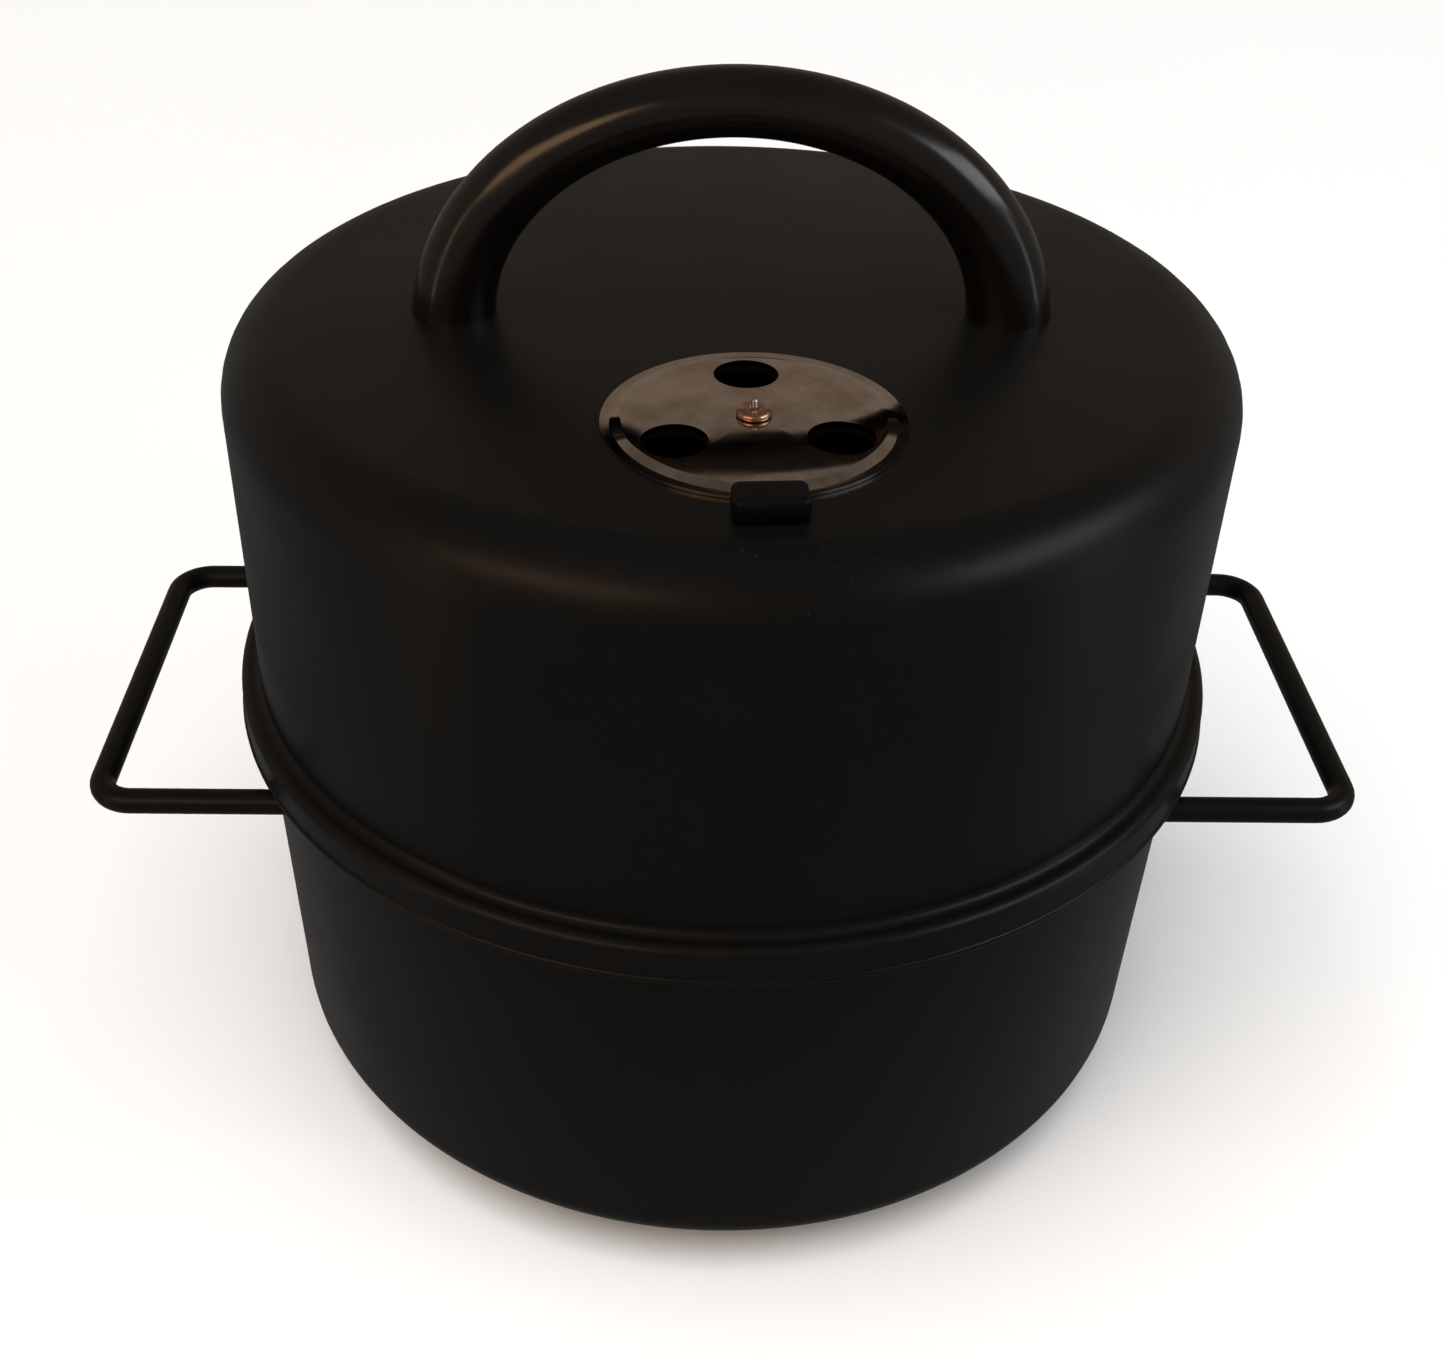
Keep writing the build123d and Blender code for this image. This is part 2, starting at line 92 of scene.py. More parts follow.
WIRE = 3.75 * MM
LOOP_REACH = LOOP_HIGH.x - WIRE
LOOP_Y = LOOP_HIGH.y - WIRE
LOOP_Z = (LOOP_LOW.z + LOOP_HIGH.z) / 2
LOOP_BEND = 10.0 * MM
LOOP_SINK = 0.4 * MM
WELD_SPREAD = 2.7 * MM
WELD_RISE = 2.5 * MM
WELD_SINK = 0.3 * MM
WELD_OVERLAP = 0.1 * MM

VENT = Vector(((RIVET_LOW.x + RIVET_HIGH.x) / 2, (RIVET_LOW.y + RIVET_HIGH.y) / 2, LID_TOP))
VENT_TURN = radians(3)
VENT_CIRCLE = 23.0 * MM
VENT_HOLE = 8.2 * MM
DISC = 37.4 * MM
DISC_SHEET = 0.8 * MM
DISC_GAP = 0.15 * MM
DISC_TOP = 2.25 * MM
DISC_FALL = 0.6 * MM
GRIP = (17.5 * MM, 10.5 * MM, 5.6 * MM)
GRIP_CORNER = 2.2 * MM
GRIP_EDGE = 1.5 * MM
GRIP_STAND_OFF = 0.2 * MM
GRIP_LIFT = 0.3 * MM
TONGUE = (11.0 * MM, 9 * MM)
TONGUE_MIDDLE = DISC + 3 * MM
RIVET = 2.5 * MM
RIVET_CLEARANCE = 0.05 * MM
WASHER_RISE = 1.3 * MM

PLATEAU_INSET = 5.0 * MM
STEP_INSET = 2.4 * MM
RIVET_BORE = 0.9 * MM
RIVET_HEAD = (4.4 * MM, 1.8 * MM)
RIVET_TAIL = (3.8 * MM, 2.2 * MM)
MANDREL = 0.84 * MM
MANDREL_TIP = 4.2 * MM
WASHER = (6.5 * MM, 0.5 * MM)

RIVET_HOLE = 2.56 * MM
HANDLE_SCREW_HOLE = 3.12 * MM
INSERT_SOCKET = 4.56 * MM
FOOT_SCREW_HOLE = 3.1 * MM

FOOT_BORE = 3.06 * MM
FOOT_BORE_LOW = 5 * MM
FOOT_FACE = 10 * MM
FOOT_HEAD = 12 * MM

FOOT_CIRCLE = (FOOT_LOW.y + FOOT_HIGH.y) / 2
FOOT_ANGLES = {"foot_rear": 90, "foot_front_left": 210, "foot_front_right": 330}
BRACKET_ANGLES = (30, 150, 270)

GRATE_RING = 2.5 * MM
COOKING_BAR = 1.8 * MM
COOKING_PITCH = 13 * MM
COOKING_ROD = 55 * MM
LOOP_HALF = 26 * MM
LOOP_RISE = 30 * MM
CHARCOAL_BAR = 2.25 * MM
CHARCOAL_PITCH = 15 * MM
CHARCOAL_ROD = 45 * MM
CHARCOAL_RISE = 20 * MM
CHARCOAL_LEG = 2 * MM
BAR_OVERLAP = 0.6 * MM
WELD_NUGGET = (2.1 * MM, 2.1 * MM, 0.9 * MM)

PAN_SHEET = 1 * MM
PAN_HEM = 1.6 * MM
PAN_FLOOR = 99 * MM
PAN_WALL = 109.5 * MM

CAMERA_PLACE = (-0.01708, -0.45757, 0.44515)
CAMERA_PITCH = radians(38.38)
CAMERA_ROLL = radians(0.47)
CAMERA_LENS = 44.09
CAMERA_SHIFT = (0.0403, 0.0570)
LAMP_AIM = Vector((0, 0, 0.15))
SOFTBOX_DISTANCE = 1.4

STAGE = 12.0
FLOOR_DROP = 0.1 * MM
SEGMENTS = 192
WIRE_SIDES = 24
ARC_STEP = radians(9)


# ---- outlines ----
def rounded(points, closed=False):
    """Replaces each (x, z, radius) corner of a line by an arc of that radius."""
    path = []
    for i, (x, z, radius) in enumerate(points):
        corner = Vector((x, z))
        if not radius or (not closed and i in (0, len(points) - 1)):
            path.append(corner)
            continue
        before = (Vector(points[i - 1][:2]) - corner).normalized()
        after = (Vector(points[(i + 1) % len(points)][:2]) - corner).normalized()
        half = before.angle(after) / 2
        centre = corner + (before + after).normalized() * radius / sin(half)
        start = corner + before * radius / tan(half) - centre
        end = corner + after * radius / tan(half) - centre
        turn = atan2(start.cross(end), start.dot(end))
        steps = max(2, ceil(abs(turn) / ARC_STEP - 0.01))
        path += [centre + Matrix.Rotation(turn * k / steps, 2) @ start for k in range(steps + 1)]
    return path


def strip(points, thickness):
    """The closed outline of a sheet: a rounded line, and its copy set off to the right."""
    face = rounded(points)
    back = []
    for i, point in enumerate(face):
        run_in = (point - face[i - 1]).normalized() if i else (face[1] - point).normalized()
        run_out = (face[i + 1] - point).normalized() if i + 1 < len(face) else run_in
        right = Vector((run_in.y + run_out.y, -run_in.x - run_out.x)).normalized()
        back.append(point + right * thickness / right.dot(Vector((run_in.y, -run_in.x))))
    return face + back[::-1]


def circle(x, z, radius, steps=24):
    """A closed round outline."""
    turns = [2 * pi * k / steps for k in range(steps)]
    return [Vector((x + radius * cos(turn), z + radius * sin(turn))) for turn in turns]


def plate(width, length, radius, inset):
    """A rounded rectangle about the Z axis, drawn in by an inset."""
    x, y, radius = width / 2 - inset, length / 2 - inset, radius - inset
    return rounded([(-x, -y, radius), (x, -y, radius), (x, y, radius), (-x, y, radius)], closed=True)


# ---- mesh helpers ----
def spin(bm, outline, place=Matrix(), segments=SEGMENTS):
    """Turns a closed (radius, height) outline about the Z axis."""
    turns = [2 * pi * k / segments for k in range(segments)]
    rings = []
    for x, z in outline:
        on_axis = x < 1e-7
        spots = [(0, 0, z)] if on_axis else [(x * cos(turn), x * sin(turn), z) for turn in turns]
        rings.append([bm.verts.new(place @ Vector(spot)) for spot in spots])
    for i, ring in enumerate(rings):
        other = rings[i - 1]
        if len(ring) == 1 and len(other) == 1:
            continue
        for k in range(segments):
            corners = [other[k % len(other)], other[(k + 1) % segments % len(other)],
                       ring[(k + 1) % segments % len(ring)], ring[k % len(ring)]]
            bm.faces.new(list(dict.fromkeys(corners)))


def tube(bm, stations, normal, sides=WIRE_SIDES):
    """Sweeps a circle through flat stations of (centre, direction, radius), and returns its rings."""
    rings = []
    for centre, direction, radius in stations:
        across = direction.cross(normal).normalized()
        spots = [centre + radius * (cos(turn) * normal + sin(turn) * across)
                 for turn in (2 * pi * k / sides for k in range(sides))]
        rings.append([bm.verts.new(spot) for spot in spots])
    loft(bm, rings)
    return rings


def loft(bm, rings):
    """Joins rings of as many points each into one closed form."""
    for ring, other in zip(rings, rings[1:]):
        for k in range(len(ring)):
            bm.faces.new((ring[k - 1], ring[k], other[k], other[k - 1]))
    bm.faces.new(rings[0][::-1])
    bm.faces.new(rings[-1])


def stations(path, radius):
    """Stations of one radius along a list of points."""
    befores, afters = [path[0]] + path[:-1], path[1:] + [path[-1]]
    return [(point, (after - before).normalized(), radius)
            for before, point, after in zip(befores, path, afters)]


def bar(bm, start, end, radius):
    """A straight wire with slightly broken ends."""
    along = (end - start).normalized()
    normal = Vector((0, 0, 1)) if abs(along.z) < 0.5 else Vector((0, 1, 0))
    edge = along * radius * 0.25
    tube(bm, [(start, along, radius * 0.75), (start + edge, along, radius),
              (end - edge, along, radius), (end, along, radius * 0.75)], normal, sides=16)


def hoop(bm, radius, wire, height):
    """A closed ring of round wire about the Z axis."""
    spin(bm, circle(radius, height, wire, 16))


def nugget(bm, place, size):
    """A small blob of weld metal."""
    bmesh.ops.create_icosphere(bm, subdivisions=2, radius=1, matrix=place @ Matrix.Diagonal((*size, 1)))


def mesh_object(name, bm, smooth=35):
    """Makes an object of a bmesh, shaded smooth up to an angle in degrees."""
    bmesh.ops.recalc_face_normals(bm, faces=bm.faces)
    mesh = bpy.data.meshes.new(name)
    bm.to_mesh(mesh)
    bm.free()
    mesh.shade_smooth()
    mesh.set_sharp_from_angle(angle=radians(smooth))
    piece = bpy.data.objects.new(name, mesh)
    bpy.context.scene.collection.objects.link(piece)
    return piece


def cut(piece, bm, smooth=35):
    """Cuts the closed forms in a bmesh out of a piece, and applies the cut."""
    cutter = mesh_object("cutter", bm)
    modifier = piece.modifiers.new("cut", "BOOLEAN")
    modifier.solver = "EXACT"
    modifier.object = cutter
    apply_modifiers(piece)
    piece.data.shade_smooth()
    piece.data.set_sharp_from_angle(angle=radians(smooth))
    bpy.data.objects.remove(cutter)
    return piece


def apply_modifiers(piece):
    """Replaces a piece's mesh by what its modifiers make of it."""
    bpy.context.view_layer.update()
    shown = piece.evaluated_get(bpy.context.evaluated_depsgraph_get())
    mesh = bpy.data.meshes.new_from_object(shown)
    piece.modifiers.clear()
    piece.data = mesh


def fit(piece, material, body, nodes):
    """Paints a piece, makes it ride on its body and stand for its CAD nodes."""
    piece.data.materials.clear()
    piece.data.materials.append(material)
    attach(piece, body)
    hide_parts(*nodes)
    return piece


def vent_cutters(bm, place, low, high):
    """Cutters for the three round vent holes."""
    for k in range(3):
        angle = pi / 2 + 2 * pi * k / 3
        spot = Matrix.Translation((VENT_CIRCLE * cos(angle), VENT_CIRCLE * sin(angle), 0))
        spin(bm, [(0, low), (VENT_HOLE, low), (VENT_HOLE, high), (0, high)], place @ spot, 48)


# ---- materials ----
class Paint:
    """A node material: the shader's own sockets hold what is even, and noise adds the rest."""

    def __init__(self, name, color, rough, metal=0.0, **sockets):
        self.material = bpy.data.materials.new(name)
        self.material.use_nodes = True
        self.nodes = self.material.node_tree.nodes
        self.link = self.material.node_tree.links.new
        self.shader = self.nodes["Principled BSDF"]
        self.shader.inputs["Base Color"].default_value = (*color, 1)
        self.shader.inputs["Roughness"].default_value = rough
        self.shader.inputs["Metallic"].default_value = metal
        for socket, value in sockets.items():
            self.shader.inputs[socket.replace("_", " ")].default_value = value
        self.place = self.nodes.new("ShaderNodeTexCoord").outputs["Object"]

    def node(self, kind, **values):
        """Adds a shader node, and sets its properties and its unlinked sockets."""
        made = self.nodes.new("ShaderNode" + kind)
        for key, value in values.items():
            if hasattr(made, key):
                setattr(made, key, value)
            else:
                made.inputs[key.replace("_", " ")].default_value = value
        return made

    def noise(self, size, detail=3.0, place=None, rough=0.5):
        """Noise whose lumps are about the given size across, in metres."""
        made = self.node("TexNoise", Scale=1 / size, Detail=detail, Roughness=rough)
        self.link(place or self.place, made.inputs["Vector"])
        return made.outputs["Fac"]

    def ramp(self, value, low, high, start, end):
        """Maps a value from one range to another, and holds it there."""
        made = self.node("MapRange", clamp=True, From_Min=low, From_Max=high, To_Min=start, To_Max=end)
        self.link(value, made.inputs["Value"])
        return made.outputs["Result"]

    def mix(self, share, first, second):
        """Mixes two colours by a value."""
        made = self.node("MixRGB")
        for socket, source in (("Fac", share), ("Color1", first), ("Color2", second)):
            if isinstance(source, tuple):
                made.inputs[socket].default_value = (*source, 1)
            else:
                self.link(source, made.inputs[socket])
        return made.outputs["Color"]

    def color(self, source):
        """Takes the base colour from a node."""
        self.link(source, self.shader.inputs["Base Color"])

    def rough(self, source):
        """Takes the roughness from a node."""
        self.link(source, self.shader.inputs["Roughness"])

    def bump(self, *layers):
        """Stacks bump layers of (height source, depth in metres, strength)."""
        normal = None
        for height, depth, strength in layers:
            made = self.node("Bump", Strength=strength, Distance=depth)
            self.link(height, made.inputs["Height"])
            if normal:
                self.link(normal, made.inputs["Normal"])
            normal = made.outputs["Normal"]
        self.link(normal, self.shader.inputs["Normal"])


def black_paint():
    """Satin heat-resistant paint: a fine orange peel, patches of different gloss and a little dust."""
    paint = Paint("black_paint", (0.0030, 0.0027, 0.0024), 0.36, Specular_IOR_Level=0.20)
    patches = paint.noise(45 * MM, 4)
    peel = paint.noise(1.7 * MM, 2)
    dust = paint.ramp(paint.noise(1.1 * MM, 1), 0.74, 0.80, 0.0, 1.0)
    tone = paint.mix(patches, (0.0022, 0.0020, 0.0018), (0.0034, 0.0030, 0.0026))
    paint.color(paint.mix(dust, tone, (0.011, 0.010, 0.009)))
    paint.rough(paint.ramp(patches, 0.3, 0.7, 0.33, 0.41))
    paint.bump((peel, 0.06 * MM, 0.30), (paint.noise(7 * MM, 2), 0.15 * MM, 0.16))
    return paint.material


def phenolic():
    """Polished moulded phenolic with hairline scratches from handling."""
    paint = Paint("handle_phenolic", (0.010, 0.008, 0.007), 0.13, Specular_IOR_Level=0.50)
    haze = paint.noise(16 * MM, 3)
    hair = paint.ramp(paint.noise(0.6 * MM, 4), 0.66, 0.72, 0.0, 1.0)
    paint.color(paint.mix(haze, (0.0020, 0.0015, 0.0012), (0.0042, 0.0031, 0.0024)))
    paint.rough(paint.ramp(haze, 0.3, 0.7, 0.15, 0.25))
    paint.bump((hair, 0.02 * MM, 0.2), (paint.noise(9 * MM, 2), 0.2 * MM, 0.1))
    return paint.material


def grip_plastic():
    """A satin moulded cap with a fine spark-eroded grain."""
    paint = Paint("grip_plastic", (0.0018, 0.0018, 0.0018), 0.50, Specular_IOR_Level=0.12)
    grain = paint.noise(0.35 * MM, 2)
    paint.color(paint.mix(paint.noise(3 * MM, 2), (0.0014, 0.0014, 0.0014), (0.0024, 0.0024, 0.0024)))
    paint.rough(paint.ramp(grain, 0.3, 0.7, 0.40, 0.52))
    paint.bump((grain, 0.03 * MM, 0.5))
    return paint.material


def polished_steel(name, centre):
    """Stainless steel polished about a vertical axis, with fine rings, smears and a heat tint."""
    paint = Paint(name, (0.62, 0.55, 0.49), 0.13, 1.0)
    shift = paint.node("VectorMath", operation="SUBTRACT")
    paint.link(paint.place, shift.inputs[0])
    shift.inputs[1].default_value = centre
    flat = paint.node("VectorMath", operation="MULTIPLY")
    paint.link(shift.outputs[0], flat.inputs[0])
    flat.inputs[1].default_value = (1, 1, 0)
    reach = paint.node("VectorMath", operation="LENGTH")
    paint.link(flat.outputs[0], reach.inputs[0])
    rings = paint.noise(0.30 * MM, 3, reach.outputs["Value"])
    smears = paint.noise(11 * MM, 4, rough=0.65)
    stain = paint.ramp(smears, 0.36, 0.64, 0.0, 1.0)
    paint.color(paint.mix(stain, (0.62, 0.54, 0.475), (0.44, 0.355, 0.29)))
    paint.rough(paint.ramp(smears, 0.35, 0.75, 0.045, 0.13))
    paint.bump((rings, 0.008 * MM, 0.12), (smears, 0.05 * MM, 0.05))
    return paint.material


def metal(name, light, dark, low, high, patch, grain=0.5 * MM):
    """A plain metal with patches of tarnish and a fine tooth."""
    paint = Paint(name, light, (low + high) / 2, 1.0)
    tarnish = paint.noise(patch, 4, rough=0.6)
    paint.color(paint.mix(paint.ramp(tarnish, 0.35, 0.7, 0.0, 1.0), light, dark))
    paint.rough(paint.ramp(tarnish, 0.3, 0.75, low, high))
    paint.bump((paint.noise(grain, 2), 0.012 * MM, 0.4))
    return paint.material


def pan_enamel():
    """Glossy vitreous enamel with a slow ripple and pinholes."""
    paint = Paint("pan_enamel", (0.012, 0.013, 0.015), 0.09, Specular_IOR_Level=0.6)
    ripple = paint.noise(9 * MM, 2)
    pits = paint.ramp(paint.noise(1.6 * MM, 1), 0.72, 0.80, 0.0, 1.0)
    paint.color(paint.mix(pits, (0.011, 0.012, 0.014), (0.05, 0.052, 0.055)))
    paint.rough(paint.ramp(ripple, 0.3, 0.7, 0.06, 0.14))
    paint.bump((ripple, 0.3 * MM, 0.2), (pits, 0.03 * MM, 0.4))
    return paint.material


BLACK = black_paint()
PHENOLIC = phenolic()
CAP = grip_plastic()
LID_STEEL = polished_steel("polished_steel_lid", VENT)
BASE_STEEL = polished_steel("polished_steel_base", Vector())
COPPER = metal("rivet_copper", (0.80, 0.50, 0.33), (0.36, 0.21, 0.13), 0.18, 0.42, 2.2 * MM)
BRASS = metal("insert_brass", (0.76, 0.56, 0.26), (0.45, 0.31, 0.14), 0.22, 0.40, 4 * MM)
ZINC = metal("zinc_steel", (0.66, 0.67, 0.69), (0.44, 0.45, 0.48), 0.24, 0.46, 3 * MM)
PLATED = metal("plated_wire", (0.66, 0.64, 0.61), (0.42, 0.38, 0.33), 0.16, 0.36, 18 * MM)
ENAMEL = pan_enamel()


# ---- lid ----
def lid_shell():
    """The deep-drawn lid: rounded shoulder, stepped skirt and a folded hem at its edge."""
    outer = [(0, LID_TOP, 0), (LID_CROWN, LID_TOP, LID_SHOULDER), (LID_BASE, STEP_Z, STEP_BENDS[0]),
             (SKIRT, STEP_Z, STEP_BENDS[1]), (SKIRT, HEM_Z, 0)]
    sheet = strip(outer, LID_SHEET)
    face = len(sheet) // 2
    roll = [Vector((SKIRT - HEM_INSET + HEM * cos(a), HEM_Z + HEM * sin(a)))
            for a in (radians(60 - 15 * k) for k in range(19))]
    bm = bmesh.new()
    spin(bm, sheet[:face - 1] + roll + sheet[face + 1:])
    shell = mesh_object("lid_shell_drawn", bm)
    bm = bmesh.new()
    vent_cutters(bm, Matrix.Translation(VENT) @ Matrix.Rotation(VENT_TURN, 4, "Z"), -3 * MM, 2 * MM)
    hole(bm, RIVET_HOLE, Matrix.Translation(VENT))
    for x in (-ARCH_SPAN, ARCH_SPAN):
        hole(bm, HANDLE_SCREW_HOLE, Matrix.Translation((x, ARCH_Y, LID_TOP)))
    return fit(cut(shell, bm), BLACK, "lid", ["lid_shell"])


def around(angle, reach):
    """A place at an angle in degrees and a distance from the Z axis."""
    return Matrix.Translation((reach * cos(radians(angle)), reach * sin(radians(angle)), 0))


def hole(bm, radius, place, low=-3 * MM, high=2 * MM):
    """A round cutter through a sheet."""
    spin(bm, [(0, low), (radius, low), (radius, high), (0, high)], place, 32)


def arch_station(share):
    """Centre, direction and radius of the arch, from -1 at the left foot to 1 at the right."""
    angle = ARCH_SWEEP * share
    centre = Vector((ARCH_HALF_WIDTH * sin(angle), ARCH_Y, ARCH_Z + ARCH_HALF_HEIGHT * cos(angle)))
    along = Vector((ARCH_HALF_WIDTH * cos(angle), 0, -ARCH_HALF_HEIGHT * sin(angle))).normalized()
    return centre, along, ARCH_CROWN + (ARCH_FOOT - ARCH_CROWN) * share ** 2


def lid_handle():
    """The moulded arch, cut flat at its feet, with a socket in each foot for its brass insert."""
    bm = bmesh.new()
    tube(bm, [arch_station(k / 60) for k in range(-60, 61)], Vector((0, 1, 0)), sides=64)
    arch = mesh_object("lid_handle_arch", bm)
    bm = bmesh.new()
    ground = Matrix.Translation((0, ARCH_Y, LID_TOP - 30 * MM)) @ Matrix.Diagonal((0.3, 0.1, 0.06, 1))
    bmesh.ops.create_cube(bm, size=1, matrix=ground)
    cut(arch, bm)
    bm = bmesh.new()
    for x in (-ARCH_SPAN, ARCH_SPAN):
        hole(bm, INSERT_SOCKET, Matrix.Translation((x, ARCH_Y, LID_TOP)), -1 * MM, 15 * MM)
    return fit(cut(arch, bm), PHENOLIC, "lid", ["lid_handle"])


# ---- pot ----
def base_pot():
    """The drawn pot with its wired rim, and the holes in its floor."""
    rim_z = POT_HIGH.z - RIM_BEAD
    outer = [(0, POT_LOW.z, 0), (POT_BASE, POT_LOW.z, POT_CORNER), (POT_RIM, rim_z, 0)]
    sheet = strip([(x, -z, r) for x, z, r in outer], POT_SHEET)
    sheet = [Vector((x, -z)) for x, z in sheet]
    face = len(sheet) // 2
    roll = [Vector((POT_RIM + RIM_OUTSET + RIM_BEAD * cos(a), rim_z + RIM_BEAD * sin(a)))
            for a in (radians(-105 + 15 * k) for k in range(21))]
    bm = bmesh.new()
    spin(bm, sheet[:face - 1] + roll + sheet[face + 1:])
    pot = mesh_object("base_pot_drawn", bm)
    bm = bmesh.new()
    middle = Matrix.Translation((0, 0, POT_LOW.z))
    vent_cutters(bm, middle @ Matrix.Rotation(pi - VENT_TURN, 4, "Z"), -2 * MM, 3 * MM)
    hole(bm, RIVET_HOLE, middle)
    for angle in FOOT_ANGLES.values():
        hole(bm, FOOT_SCREW_HOLE, middle @ around(angle, FOOT_CIRCLE))
    return fit(cut(pot, bm), BLACK, "pot", ["base_pot"])


def wall_x(y, z):
    """How far out the pot's wall is at a height and a distance from its middle plane."""
    share = (z - POT_LOW.z) / (POT_HIGH.z - POT_LOW.z)
    return sqrt((POT_BASE + (POT_RIM - POT_BASE) * share) ** 2 - y ** 2)


def side_handle(name, side):
    """A bent wire loop whose two ends follow the pot's wall."""
    root = wall_x(LOOP_Y, LOOP_Z)
    flat = rounded([(root, LOOP_Y, 0), (LOOP_REACH, LOOP_Y, LOOP_BEND),
                    (LOOP_REACH, -LOOP_Y, LOOP_BEND), (root, -LOOP_Y, 0)])
    path = [Vector((x, y, LOOP_Z)) for x, y in flat]
    bm = bmesh.new()
    rings = tube(bm, stations(path, WIRE), Vector((0, 0, 1)), sides=32)
    for vertex in rings[0] + rings[-1]:
        vertex.co.x = wall_x(vertex.co.y, vertex.co.z) - LOOP_SINK
    if side < 0:
        bmesh.ops.transform(bm, verts=bm.verts, matrix=Matrix.Diagonal((-1, 1, 1, 1)))
    return fit(mesh_object(name + "_wire", bm), BLACK, "pot", [name])


def weld_beads():
    """A rippled fillet of weld round each leg of the side handles."""
    bm = bmesh.new()
    for side_x in (-1, 1):
        for side_y in (-1, 1):
            weld_bead(bm, side_x, side_y)
    return fit(mesh_object("handle_welds", bm, 60), BLACK, "pot", ["handle_weld_beads"])


def weld_bead(bm, side_x, side_y):
    """One bead: a hollow-faced ring round the wire that follows the wall."""
    sides, steps = 48, 6
    rings = []
    for k in range(sides):
        angle = 2 * pi * k / sides
        ripple = 1 + 0.12 * sin(9 * angle + side_x) + 0.06 * sin(14 * angle + side_y)
        ring = []
        for j in range(steps + 1):
            t = j / steps
            reach = WIRE - WELD_OVERLAP + WELD_SPREAD * ripple * t ** 2
            rise = WELD_RISE * ripple * (1 - t) ** 1.6 - WELD_SINK
            ring.append((reach, rise))
        ring.append((WIRE - WELD_OVERLAP, -WELD_SINK))
        spots = []
        for reach, rise in ring:
            y = LOOP_Y * side_y + reach * cos(angle)
            z = LOOP_Z + reach * sin(angle)
            spots.append(bm.verts.new((side_x * (wall_x(y, z) + rise), y, z)))
        rings.append(spots)
    for k, ring in enumerate(rings):
        for j in range(len(ring)):
            bm.faces.new((rings[k - 1][j - 1], rings[k - 1][j], ring[j], ring[j - 1]))


def foot(name, angle):
    """A turned foot with a rounded lower edge."""
    height = FOOT_HIGH.z
    outline = rounded([(0, 0, 0), (FOOT_FACE, 0, 1.5 * MM), (FOOT_HEAD, height, 0.4 * MM),
                       (FOOT_BORE, height, 0), (FOOT_BORE, FOOT_BORE_LOW, 0), (0, FOOT_BORE_LOW, 0)],
                      closed=True)
    bm = bmesh.new()
    spin(bm, outline, around(angle, FOOT_CIRCLE), 64)
    return fit(mesh_object(name + "_turned", bm), BLACK, "pot", [name])


# ---- dampers ----
def damper(owner, body, stay, place, sheet, steel):
    """One damper: disc, grip, rivet, mandrel and washer. stay is the body it is riveted to."""
    turned = place @ Matrix.Rotation(VENT_TURN, 4, "Z")
    rim = DISC_GAP + DISC_SHEET
    outline = strip([(RIVET + RIVET_CLEARANCE, DISC_TOP, 0),
                     (DISC - PLATEAU_INSET, DISC_TOP - DISC_FALL, 2 * MM),
                     (DISC - STEP_INSET, rim, 1.6 * MM), (DISC, rim, 0)], DISC_SHEET)
    bm = bmesh.new()
    spin(bm, outline, turned, 144)
    disc = mesh_object(f"{owner}_damper_disc_pressed", bm)
    bm = bmesh.new()
    vent_cutters(bm, turned, -1 * MM, 5 * MM)
    cut(disc, bm)
    bm = bmesh.new()
    tongue = Matrix.Translation((0, -TONGUE_MIDDLE, DISC_GAP + DISC_SHEET / 2))
    tongue_size = Matrix.Diagonal((*TONGUE, DISC_SHEET, 1))
    bmesh.ops.create_cube(bm, size=1, matrix=turned @ tongue @ tongue_size)
    union(disc, bm)
    fit(disc, steel, body, [f"{owner}_damper_disc"])
    grip(owner, body, turned)
    rivet(owner, stay, place, sheet)


def union(piece, bm):
    """Joins the closed forms in a bmesh to a piece."""
    other = mesh_object("joined", bm)
    modifier = piece.modifiers.new("join", "BOOLEAN")
    modifier.solver = "EXACT"
    modifier.operation = "UNION"
    modifier.object = other
    apply_modifiers(piece)
    piece.data.shade_smooth()
    piece.data.set_sharp_from_angle(angle=radians(35))
    bpy.data.objects.remove(other)


def grip(owner, body, turned):
    """The black cap pushed over the disc's tongue."""
    width, length, height = GRIP
    edge = GRIP_EDGE
    profile = [(0.5 * MM, 0), (0.15 * MM, 0.15 * MM), (0, 0.5 * MM)]
    profile += [(edge * (1 - cos(turn)), height - edge * (1 - sin(turn)))
                for turn in (radians(15 * k) for k in range(7))]
    profile += [(2.0 * MM, height + 0.03 * MM)]
    centre = turned @ Matrix.Translation((0, -(DISC + GRIP_STAND_OFF + length / 2), GRIP_LIFT))
    bm = bmesh.new()
    rings = []
    for inset, rise in profile:
        edge_line = plate(width, length, GRIP_CORNER, inset)
        rings.append([bm.verts.new(centre @ Vector((x, y, rise))) for x, y in edge_line])
    loft(bm, rings)
    cap = mesh_object(f"{owner}_damper_grip_cap", bm, 40)
    fit(cap, CAP, body, [f"{owner}_damper_grip"])


